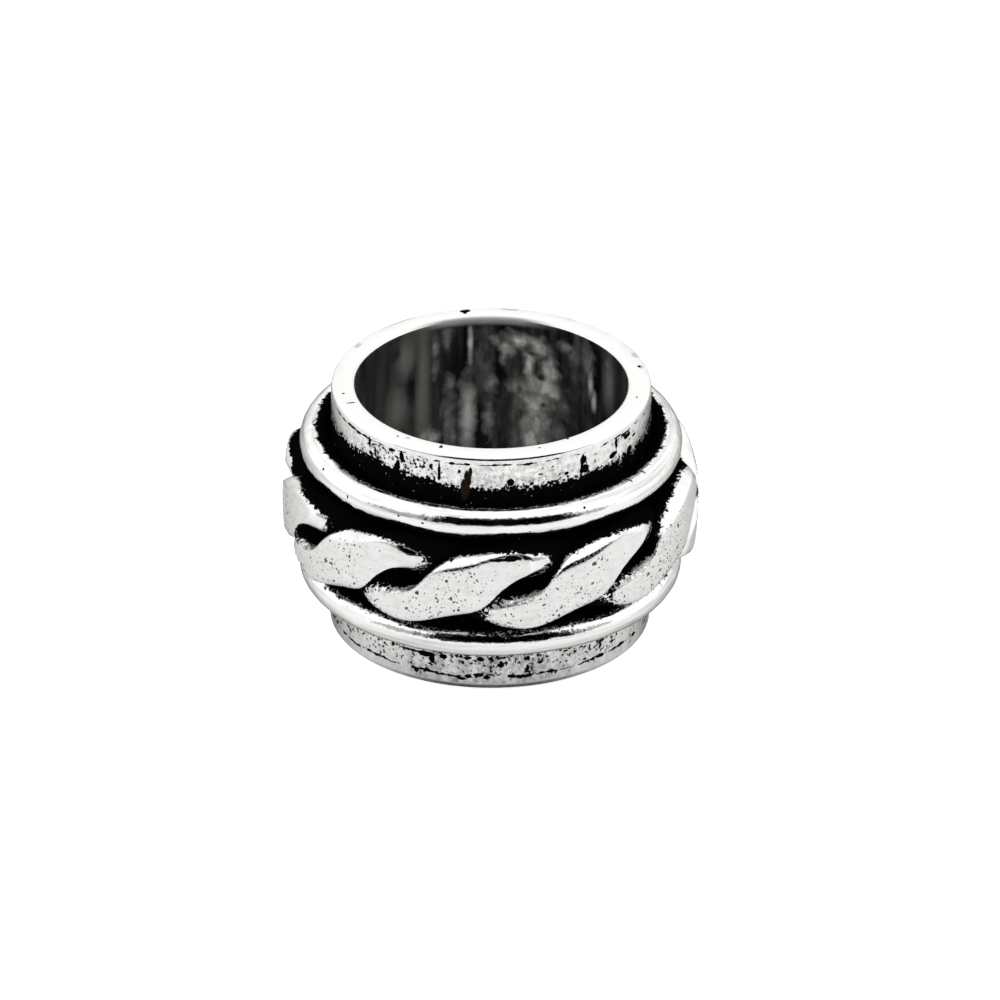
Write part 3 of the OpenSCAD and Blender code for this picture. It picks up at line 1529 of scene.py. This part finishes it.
@dataclass(frozen=True, kw_only=True)
class StrandSilver(AntiquedSilver):
    """Antiqued silver on a strand: flats rubbed satin and pitted, bright shoulders, black deep.

    The bead was rubbed from outside, so the flats are clean. The black starts past their
    edges. It reaches farther on the upper shoulder where the strand rises to a ring than where
    it comes from under the other strand: that extra black is a painted reflection of the dark
    front.
    """

    lead: float
    satin: str = "#F2F2F0"
    # A lighter specular tint, so the strands' outlines take less painted shade.
    outline_shade_tint: str = "#C0C0BE"
    # Radius that the black reaches out to, and how far that swings with the strand's twist
    black_r: float = 5.7
    black_swing: float = 0.2
    black_lean: float = math.radians(60)
    # How much farther out it reaches along the top, before a crossing and beside a wedge. The
    # reach before a crossing is a painted reflection of the dark front.
    top_z: float = 5.22
    top_black: float = 0.3
    reflection_black: float = 0.14
    reflection_lean: float = math.radians(40)
    wedge_black: float = 0.32
    # The right-hand lobe was rubbed harder.
    right: Stretch = Stretch(84, 10, 20)
    right_black: float = -0.3
    pit_lean: float = math.radians(25)
    pit_black: float = 0.95
    corner_black: float = 0.9
    cloud_grey: float = 0.13
    hollow_fringe: Fringe = Fringe(rag=0.6, rag_mm=0.06)
    hollows: tuple[Spot, ...] = (
        Spot(-4, 4.98, 0.4, 0.03),
        Spot(2.5, 5.05, 0.32, 0.06),
        Spot(6.3, 5.09, 0.26, 0.1),
    )

    def make(self, name: str) -> bpy.types.Material:
        """Makes the material.

        Args:
            name: The material's name.

        Returns:
            The material.
        """
        surface = Surface(name)
        below = self.below_crown(surface)
        flat, near_flat, off_flat = (
            surface.add("MapRange", {"Value": below, "From Min": low, "From Max": high})
            for low, high in ((0.012, 0.002), (0.06, 0.02), (0.02, 0.05))
        )
        right = surface.on_stretch(self.right)
        edge = surface.total(
            self.black_edge(surface),
            surface.product(self.beside_wedge(surface), off_flat),
            surface.product(right, self.right_black),
        )
        inside = surface.add("Math", {0: edge, 1: surface.radius}, operation="SUBTRACT")
        depth = surface.add(
            "MapRange", {"Value": inside, "From Min": -0.4, "From Max": 0.12}
        )
        black = surface.ragged_black(depth, coarse_mm=0.2, fine_mm=0.045, fine_share=0.6)
        hollows = surface.spots(
            self.hollows, surface.height, self.sizes.crest_r, fringe=self.hollow_fringe
        )
        corner = surface.add(
            "Mix", {0: right, 2: self.inner_corner(surface, flat), 3: 0.0}, data_type="FLOAT"
        )
        clouds = surface.total(surface.mottle(0.12), surface.brushed(0.8, 0.09))
        return self.shade(
            surface,
            surface.most(
                black,
                surface.product(self.pitting(surface), near_flat, self.pit_black),
                surface.product(hollows, near_flat),
                corner,
            ),
            surface.mottle(0.5),
            satin=flat,
            tarnish_and_shade=surface.product(clouds, flat, self.cloud_grey),
        )

    def below_crown(self, surface: Surface) -> Any:
        """How far the point lies inside the rope's rubbed outside.

        Args:
            surface: The material.

        Returns:
            The distance, in millimetres.
        """
        s = self.sizes
        off = surface.total(surface.height, -s.rope_z)
        crown = surface.add(
            "Math",
            {
                0: surface.product(off, off),
                1: -s.rope_crown * (2 / s.rope_w) ** 2,
                2: s.crest_r,
            },
            operation="MULTIPLY_ADD",
        )
        return surface.add("Math", {0: crown, 1: surface.radius}, operation="SUBTRACT")

    def twist(self, surface: Surface, wave: Wave, lean: float = 0.0) -> Any:
        """The sine or cosine of the strand's twist where the point is.

        Args:
            surface: The material.
            wave: Which of the two it is.
            lean: An angle added to the twist, which is 0 where the strand crosses the outside.

        Returns:
            The sine or cosine.
        """
        s = self.sizes
        phase = surface.add(
            "Math",
            {
                0: surface.round_from(Side.FRONT),
                1: float(s.rope_twists),
                2: self.lead + lean - s.rope_twists * s.rope_turn,
            },
            operation="MULTIPLY_ADD",
        )
        return surface.add("Math", {0: phase}, operation=wave.value)

    def black_edge(self, surface: Surface) -> Any:
        """How far out the black reaches from the strand's twist and height.

        Args:
            surface: The material.

        Returns:
            The radius, in millimetres.
        """
        swing = surface.add(
            "Math",
            {
                0: self.twist(surface, Wave.SINE, self.black_lean),
                1: -self.black_swing,
                2: self.black_r,
            },
            operation="MULTIPLY_ADD",
        )
        top, shoulder = (
            surface.add(
                "MapRange",
                {
                    "Value": surface.height,
                    "From Min": self.top_z - none,
                    "From Max": self.top_z - full,
                    "To Max": most,
                },
            )
            for none, full, most in ((0.25, 0.0, self.top_black), (0.7, 0.35, 1.0))
        )
        # Painted reflection of the dark front: more black on the upper shoulder before each
        # crossing
        dark_front_reflection = surface.add(
            "MapRange",
            {
                "Value": self.twist(surface, Wave.COSINE, self.reflection_lean),
                "From Min": 0.3,
                "From Max": 0.9,
            },
        )
        return surface.total(swing, top, surface.product(dark_front_reflection, shoulder, self.reflection_black))

    def beside_wedge(self, surface: Surface) -> Any:
        """How much farther out the black reaches beside the wedge between two lobes.

        Args:
            surface: The material.

        Returns:
            The distance, in millimetres.
        """
        before = surface.add(
            "MapRange",
            {"Value": self.twist(surface, Wave.SINE), "From Min": -0.35, "From Max": -0.65},
        )
        middle = self.sizes.rope_z
        raised = surface.add(
            "MapRange",
            {"Value": surface.height, "From Min": middle - 0.15, "From Max": middle + 0.1},
        )
        return surface.product(before, raised, self.wedge_black)

    def pitting(self, surface: Surface) -> Any:
        """Pits and specks, which crowd together in the middle of each flat.

        Args:
            surface: The material.

        Returns:
            How black the surface is, from 0 to 1.
        """
        middle = self.twist(surface, Wave.COSINE, self.pit_lean)
        crowd = surface.product(
            surface.add("MapRange", {"Value": middle, "From Min": 0.2, "From Max": 0.75}),
            surface.add("MapRange", {"Value": surface.mottle(0.5), "To Min": 0.55}),
        )
        stipple = surface.add(
            "TexNoise", {"Vector": surface.place, "Scale": 9.0, "Detail": 4.0, "Roughness": 0.7}
        )
        grain = surface.add(
            "MapRange", {"Value": stipple, "From Min": 0.52, "From Max": 0.8, "To Max": 0.3}
        )
        return surface.most(
            surface.pits(cell_mm=0.1, share=0.8, largest=0.42, crowd=crowd),
            surface.pits(cell_mm=0.22, share=0.5, largest=0.36, crowd=crowd),
            surface.product(grain, crowd),
        )

    def inner_corner(self, surface: Surface, flat: Any) -> Any:
        """Clouds of black on the shoulder where the strand comes out from under the other.

        Args:
            surface: The material.
            flat: 1 on the rubbed flats.

        Returns:
            How black the surface is, from 0 to 1.
        """
        before = surface.add(
            "MapRange",
            {"Value": self.twist(surface, Wave.SINE), "From Min": -0.5, "From Max": -0.8},
        )
        shoulder = surface.add("MapRange", {"Value": flat, "To Min": 1.0, "To Max": 0.0})
        return surface.product(before, shoulder, surface.mottle(0.07), self.corner_black)


# Pieces


@dataclass(frozen=True)
class Dent:
    """A small dent or casting pit in the sleeve.

    Its angle is in degrees from the front towards +X. The rest is in millimetres: its
    radius and height, and half of its size round the bead, outwards and upwards.
    """

    turn_deg: float
    radius: float
    height: float
    half_size: tuple[float, float, float]


@dataclass
class Sleeve:
    """The tube that the lock of hair passes through."""

    sizes: BeadSizes
    segments: int = 384
    wall_rows: int = 60
    bevel_rows: int = 4
    # How far inside the bore's wall a face may lie and still get the bore's finish
    bore_margin: float = 0.02
    dents: tuple[Dent, ...] = (
        Dent(-169.8, 4.46, 7.7, (0.17, 0.09, 0.06)),
        Dent(35.5, 4.7, 6.97, (0.13, 0.06, 0.24)),
        Dent(49.8, 4.7, 6.96, (0.16, 0.05, 0.09)),
        Dent(-18.7, 4.7, 7.1, (0.045, 0.04, 0.28)),
        Dent(7, 4.7, 6.88, (0.1, 0.05, 0.1)),
        Dent(-35.5, 4.7, 6.95, (0.08, 0.04, 0.18)),
        Dent(-8.8, 4.7, 6.85, (0.09, 0.03, 0.3)),
    )

    def build(self) -> bpy.types.Object:
        """Models the tube from a cylinder whose ends are inset, opened and bridged.

        Returns:
            The sleeve, in millimetres.
        """
        s = self.sizes
        deselect_all()
        bpy.ops.mesh.primitive_cylinder_add(
            vertices=self.segments, radius=s.sleeve_r, depth=s.height, location=(0, 0, s.mid_z)
        )
        sleeve = name_new("sleeve")
        with editing(sleeve, Part.FACE):
            pick(sleeve, Part.FACE, lambda face: abs(face.normal.z) > 0.5)
            bpy.ops.mesh.inset(thickness=s.wall, use_even_offset=True)
            bpy.ops.mesh.delete(type="FACE")
            pick(sleeve, Part.EDGE, self.is_bore_rim)
            bpy.ops.mesh.bridge_edge_loops()
            pick(sleeve, Part.EDGE, self.runs_round)
            bpy.ops.mesh.bevel(offset=s.end_bevel, segments=self.bevel_rows, affect="EDGES")
            pick(sleeve, Part.EDGE, lambda edge: reach(edge, Axis.Z) > s.height / 2)
            bpy.ops.mesh.subdivide(number_cuts=self.wall_rows)
            pick_all()
            bpy.ops.mesh.normals_make_consistent(inside=False)
        for dent in self.dents:
            self.cut(sleeve, dent)
        return sleeve

    def is_bore_rim(self, edge: bmesh.types.BMEdge) -> bool:
        """Whether an edge lies on the open rim of the bore."""
        middle_r = (self.sizes.bore_r + self.sizes.sleeve_r) / 2
        return edge.is_boundary and distance_from_axis(edge.verts[0].co) < middle_r

    def runs_round(self, edge: bmesh.types.BMEdge) -> bool:
        """Whether an edge runs round the bead, as those of the four rims do."""
        start, end = (distance_from_axis(vert.co) for vert in edge.verts)
        return reach(edge, Axis.Z) < NEARLY and abs(end - start) < NEARLY

    def cut(self, sleeve: bpy.types.Object, dent: Dent) -> None:
        """Cuts a dent with the shape of a flattened ball.

        Args:
            sleeve: The sleeve, in millimetres.
            dent: The dent.
        """
        angle = math.radians(dent.turn_deg)
        across, depth = dent.radius * math.sin(angle), -dent.radius * math.cos(angle)
        deselect_all()
        bpy.ops.mesh.primitive_ico_sphere_add(
            subdivisions=3, radius=1, location=(across, depth, dent.height), rotation=(0, 0, angle)
        )
        cutter = name_new("dent")
        cutter.scale = dent.half_size
        apply_modifier(sleeve, "BOOLEAN", object=cutter, operation="DIFFERENCE")
        bpy.data.objects.remove(cutter)

    def dress(self, sleeve: bpy.types.Object) -> None:
        """Gives the sleeve its two finishes, one for the bore and one for the rest.

        Args:
            sleeve: The sleeve, in millimetres.
        """
        s = self.sizes
        outside = SleeveSilver(sizes=s).make("rubbed_silver_plate_sleeve")
        inside = BoreSilver(sizes=s).make("dark_silver_plate_bore")
        for finish in (outside, inside):
            sleeve.data.materials.append(finish)
        near_bore = s.bore_r + self.bore_margin
        with editing(sleeve, Part.FACE):
            pick(
                sleeve,
                Part.FACE,
                lambda face: distance_from_axis(face.calc_center_median()) < near_bore,
            )
            sleeve.active_material_index = 1
            bpy.ops.object.material_slot_assign()


@dataclass
class Ring:
    """A ring of round wire, rubbed flat along its crest."""

    sizes: BeadSizes
    steps: int = 360
    corners: int = 40
    crest_depth: float = 0.02
    unevenness: float = 0.03
    unevenness_size: float = 0.5

    def build(self) -> bpy.types.Object:
        """Spins the wire's section round the bead.

        Returns:
            The ring with its middle at height 0 and its rubbed crest up, in millimetres.
        """
        s = self.sizes
        deselect_all()
        bpy.ops.mesh.primitive_circle_add(
            vertices=self.corners,
            radius=s.wire_r,
            fill_type="NGON",
            location=(s.ring_r, 0, 0),
            rotation=(math.pi / 2, 0, 0),
        )
        ring = name_new("ring")
        bpy.ops.object.transform_apply(location=True, rotation=True, scale=True)
        with editing(ring, Part.FACE):
            pick_all()
            bpy.ops.mesh.bisect(
                plane_co=(0, 0, s.wire_r - self.crest_depth),
                plane_no=UPRIGHT,
                clear_outer=True,
                threshold=0.0001,
            )
            pick_all()
            bpy.ops.mesh.delete(type="ONLY_FACE")
            # A new face closes the section along the cut, and only its edge is kept.
            bpy.ops.mesh.select_mode(type=Part.VERT.value)
            pick_all()
            bpy.ops.mesh.edge_face_add()
            bpy.ops.mesh.delete(type="ONLY_FACE")
            pick_all()
            bpy.ops.mesh.spin(steps=self.steps, angle=FULL_TURN, center=ORIGIN, axis=UPRIGHT)
            pick_all()
            bpy.ops.mesh.remove_doubles(threshold=MERGE)
            bpy.ops.mesh.normals_make_consistent(inside=False)
        clouds = bpy.data.textures.new("wire_unevenness", "CLOUDS")
        clouds.noise_scale = self.unevenness_size
        apply_modifier(
            ring, "DISPLACE", texture=clouds, strength=self.unevenness, mid_level=0.5
        )
        bpy.data.textures.remove(clouds)
        return ring

    def dress(self, ring: bpy.types.Object) -> None:
        """Gives the ring its finish."""
        finish = RingSilver(sizes=self.sizes).make("rubbed_silver_plate_rings")
        ring.data.materials.append(finish)


@dataclass
class Strand:
    """One strand of the rope: a closed loop that weaves in and out round the sleeve."""

    sizes: BeadSizes
    corners: int = 56
    stations: int = 60
    way_step: float = math.radians(2.5)
    drum_corners: int = 720
    drum_rows: int = 32

    def path(self, twist: float) -> tuple[float, float]:
        """Where the strand's middle is.

        Args:
            twist: The strand's twist about the rope's middle, 0 where it crosses the outside.

        Returns:
            The distance from the bead's axis, and the height.
        """
        s = self.sizes
        inward = (1 - math.cos(twist + s.outside_lead)) / 2
        far_out = 1 - 2 * inward**s.outside_power
        return s.rope_r + s.swing_r * far_out, s.rope_z + s.swing_z * math.sin(twist)

    def half_width(self, twist: float) -> float:
        """Half the strand's width: full where it crosses, and round where it turns over."""
        s = self.sizes
        return s.strand_t / 2 + (s.strand_w - s.strand_t) / 2 * math.cos(twist) ** 2

    def place_ring(self, twist: float) -> None:
        """Shapes and places the selected ring of corners, which starts as a circle at the origin.

        Args:
            twist: The strand's twist about the rope's middle, 0 where it crosses the outside.
        """
        s = self.sizes
        out_r, height = self.path(twist)
        r_before, z_before = self.path(twist - self.way_step)
        r_after, z_after = self.path(twist + self.way_step)
        between = 2 * self.way_step / s.rope_twists
        rise = (z_after - z_before) / between
        swing = (r_before - r_after) / between
        bpy.ops.transform.resize(
            value=(1, s.strand_t / 2, self.half_width(twist)), center_override=ORIGIN
        )
        turn(-twist, Axis.X, ORIGIN)
        turn(-math.atan2(rise, math.hypot(out_r, swing)), Axis.Y, ORIGIN)
        turn(math.atan2(swing, out_r), Axis.Z, ORIGIN)
        bpy.ops.transform.translate(value=(0, -out_r, height))
        turn(s.rope_turn + twist / s.rope_twists, Axis.Z, ORIGIN)

    def build(self) -> bpy.types.Object:
        """Models one twist ring by ring, repeats it round the bead and rubs its outside flat.

        Returns:
            The strand, in millimetres.
        """
        s = self.sizes
        deselect_all()
        bpy.ops.mesh.primitive_cylinder_add(
            vertices=self.corners,
            radius=1,
            depth=self.stations,
            end_fill_type="NOTHING",
            rotation=(0, math.pi / 2, 0),
        )
        strand = name_new("strand")
        bpy.ops.object.transform_apply(location=True, rotation=True, scale=True)
        with editing(strand, Part.EDGE):
            pick(strand, Part.EDGE, lambda edge: reach(edge, Axis.X) > 1)
            bpy.ops.mesh.subdivide(number_cuts=self.stations - 1)
            mesh = bmesh.from_edit_mesh(strand.data)
            rings: dict[int, set[int]] = {}
            for vert in mesh.verts:
                rings.setdefault(round(vert.co.x), set()).add(vert.index)
            for station, members in rings.items():
                pick(strand, Part.VERT, lambda vert: vert.index in members)
                bpy.ops.transform.translate(value=(-station, 0, 0))
                self.place_ring(FULL_TURN * station / self.stations)
            pick_all()
            bpy.ops.mesh.spin(
                steps=s.rope_twists - 1,
                dupli=True,
                angle=FULL_TURN * (1 - 1 / s.rope_twists),
                center=ORIGIN,
                axis=UPRIGHT,
            )
            pick_all()
            bpy.ops.mesh.remove_doubles(threshold=MERGE)
            bpy.ops.mesh.normals_make_consistent(inside=False)
        self.rub_flat(strand)
        return strand

    def rub_flat(self, strand: bpy.types.Object) -> None:
        """Rubs the strand's outside down to a drum with a slight crown.

        Args:
            strand: The strand to change.
        """
        s = self.sizes
        depth = s.rope_w + 2 * s.rope_rub
        row_height = depth / self.drum_rows
        deselect_all()
        bpy.ops.mesh.primitive_cylinder_add(
            vertices=self.drum_corners, radius=1, depth=depth, location=(0, 0, s.rope_z)
        )
        drum = name_new("rubbing_drum")
        bpy.ops.object.transform_apply(location=True, rotation=True, scale=True)
        with editing(drum, Part.EDGE):
            pick(drum, Part.EDGE, lambda edge: reach(edge, Axis.Z) > depth / 2)
            bpy.ops.mesh.subdivide(number_cuts=self.drum_rows - 1)
            for row in range(self.drum_rows + 1):
                level = s.rope_z - depth / 2 + row_height * row
                pick(drum, Part.VERT, lambda vert: abs(vert.co.z - level) < row_height / 2)
                radius = s.rubbed_r(level)
                bpy.ops.transform.resize(
                    value=(radius, radius, 1), center_override=(0, 0, level)
                )
        apply_modifier(
            strand,
            "SHRINKWRAP",
            target=drum,
            wrap_method="NEAREST_SURFACEPOINT",
            wrap_mode="INSIDE",
        )
        bpy.data.objects.remove(drum)

    def dress(self, strand: bpy.types.Object, lead: float) -> None:
        """Gives a strand its finish.

        Args:
            strand: The strand.
            lead: How far ahead its twist is, in radians.
        """
        finish = StrandSilver(sizes=self.sizes, lead=lead)
        strand.data.materials.append(finish.make(f"rubbed_silver_plate_{strand.name}"))


# Studio


@dataclass(frozen=True)
class Card:
    """An upright card in front of the bead, which shows only as a streak in the metal.

    Its sizes are in metres: how far it stands from the bead, its width and height, and where
    its left-hand and lower edges are.
    """

    name: str
    colour: str
    distance: float
    width: float
    height: float
    left: float
    low: float


@dataclass(frozen=True)
class Studio:
    """A white tent with an open, dark front, a pale floor and a long lens."""

    elevation: float = math.radians(28.5)
    roll: float = math.radians(0.4)
    distance: float = 1.2
    pixels_per_mm: float = 34.04
    image_pixels: float = 1000.0
    centre_right_mm: float = 0.279
    centre_down_mm: float = 0.073
    sensor_mm: float = 36.0
    clip_distances: float = 10.0
    floor_m: float = 1.2
    # The floor that the camera sees lies lower, so the two never meet.
    floor_drop_mm: float = 0.005
    floor_roughness: float = 0.9
    floor_glow: float = 0.6
    reflected_floor: str = "#C8C8C8"
    reflected_glow: float = 0.31
    tent_light: float = 1.15
    cards: tuple[Card, ...] = (
        Card("dark_front", "#000000", 0.4, 0.82, 0.6, -0.3, 0.01),
        Card("dim_front", "#B4B4B4", 0.41, 2.6, 0.3, -1.2, 0.01),
    )

    def add_camera(self, sizes: BeadSizes) -> None:
        """Adds the camera at the photograph's viewing angle.

        Args:
            sizes: The bead's sizes.
        """
        look = Vector((0, math.cos(self.elevation), -math.sin(self.elevation)))
        up = Vector((0, math.sin(self.elevation), math.cos(self.elevation)))
        aim = Vector((self.centre_right_mm, 0, sizes.mid_z)) - up * self.centre_down_mm
        field_m = self.image_pixels / self.pixels_per_mm * MM
        data = bpy.data.cameras.new("camera")
        data.sensor_width = self.sensor_mm
        data.lens = self.sensor_mm * self.distance / field_m
        data.clip_end = self.clip_distances * self.distance
        camera = bpy.data.objects.new("camera", data)
        bpy.context.collection.objects.link(camera)
        camera.location = aim * MM - look * self.distance
        camera.rotation_euler = (math.pi / 2 - self.elevation, 0, 0)
        camera.rotation_euler.rotate_axis("Z", self.roll)
        bpy.context.scene.camera = camera

    def add_floor(self) -> None:
        """Adds the pale floor that the camera sees, and the greyer one that the metal sees.

        The photograph's floor was levelled to white, but the metal still reflects its real,
        light grey shade.
        """
        for name, drop_mm, code, glow, seen in (
            ("floor", self.floor_drop_mm, WHITE, self.floor_glow, True),
            ("reflected_floor", 0.0, self.reflected_floor, self.reflected_glow, False),
        ):
            deselect_all()
            bpy.ops.mesh.primitive_plane_add(size=self.floor_m, location=(0, 0, -drop_mm * MM))
            floor = name_new(name)
            material = bpy.data.materials.new(name)
            tree = empty_tree(material)
            shader = add_node(
                tree,
                "BsdfPrincipled",
                {
                    "Base Color": linear_colour(code),
                    "Roughness": self.floor_roughness,
                    "Emission Color": linear_colour(WHITE),
                    "Emission Strength": glow,
                },
            )
            add_node(tree, "OutputMaterial", {"Surface": shader})
            floor.data.materials.append(material)
            floor.visible_camera = seen
            floor.visible_glossy = not seen
            floor.visible_diffuse = seen
            floor.visible_shadow = False

    def add_cards(self) -> None:
        """Adds the tent's dark opening round the lens, and the dim strip of table before it."""
        for card in self.cards:
            deselect_all()
            middle = (card.left + card.width / 2, -card.distance, card.low + card.height / 2)
            bpy.ops.mesh.primitive_plane_add(
                size=1, location=middle, rotation=(math.pi / 2, 0, 0)
            )
            plane = name_new(card.name)
            plane.scale = (card.width, card.height, 1)
            material = bpy.data.materials.new(f"{card.name}_cloth")
            tree = empty_tree(material)
            shader = add_node(
                tree, "Emission", {"Color": linear_colour(card.colour), "Strength": 1.0}
            )
            add_node(tree, "OutputMaterial", {"Surface": shader})
            plane.data.materials.append(material)
            plane.visible_camera = False
            plane.visible_diffuse = False
            plane.visible_shadow = False

    def light(self) -> None:
        """Lights the tent evenly from all round."""
        world = bpy.data.worlds.new("tent")
        bpy.context.scene.world = world
        tree = empty_tree(world)
        background = add_node(
            tree, "Background", {"Color": linear_colour(WHITE), "Strength": self.tent_light}
        )
        add_node(tree, "OutputWorld", {"Surface": background})
        view = bpy.context.scene.view_settings
        view.view_transform = "Standard"
        view.look = "None"


def report(piece: bpy.types.Object) -> None:
    """Logs a piece's name and size."""
    size = [round(length / MM, 2) for length in piece.dimensions]
    LOG.info("%s: %s mm, %d faces", piece.name, size, len(piece.data.polygons))


def main() -> None:
    """Builds the bead and its studio in order."""
    logging.basicConfig(level=logging.INFO, format="%(message)s")
    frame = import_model()
    sizes = BeadSizes.from_frame(frame)

    studio = Studio()
    studio.add_camera(sizes)
    studio.add_floor()
    studio.add_cards()
    studio.light()

    tube = Sleeve(sizes)
    sleeve = tube.build()
    tube.dress(sleeve)

    wire = Ring(sizes)
    upper = wire.build()
    upper.name = "upper_ring"
    wire.dress(upper)
    lower = copy_piece(upper, "lower_ring")
    upper.location.z = sizes.mid_z + sizes.ring_offset
    lower.location.z = sizes.mid_z - sizes.ring_offset
    lower.rotation_euler.x = math.pi

    rope = Strand(sizes)
    strand = rope.build()
    strand.name = "rope_strand_1"
    other = copy_piece(strand, "rope_strand_2")
    other.rotation_euler.z = math.pi / sizes.rope_twists
    rope.dress(strand, lead=0.0)
    rope.dress(other, lead=math.pi)

    for piece in (sleeve, upper, lower, strand, other):
        bring_to_metres(piece)
        select_only(piece)
        bpy.ops.object.shade_smooth_by_angle(angle=SMOOTH_ANGLE)
        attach(piece, BODY)
        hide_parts(CAD_NODE)
        report(piece)


if __name__ == "__main__":
    main()
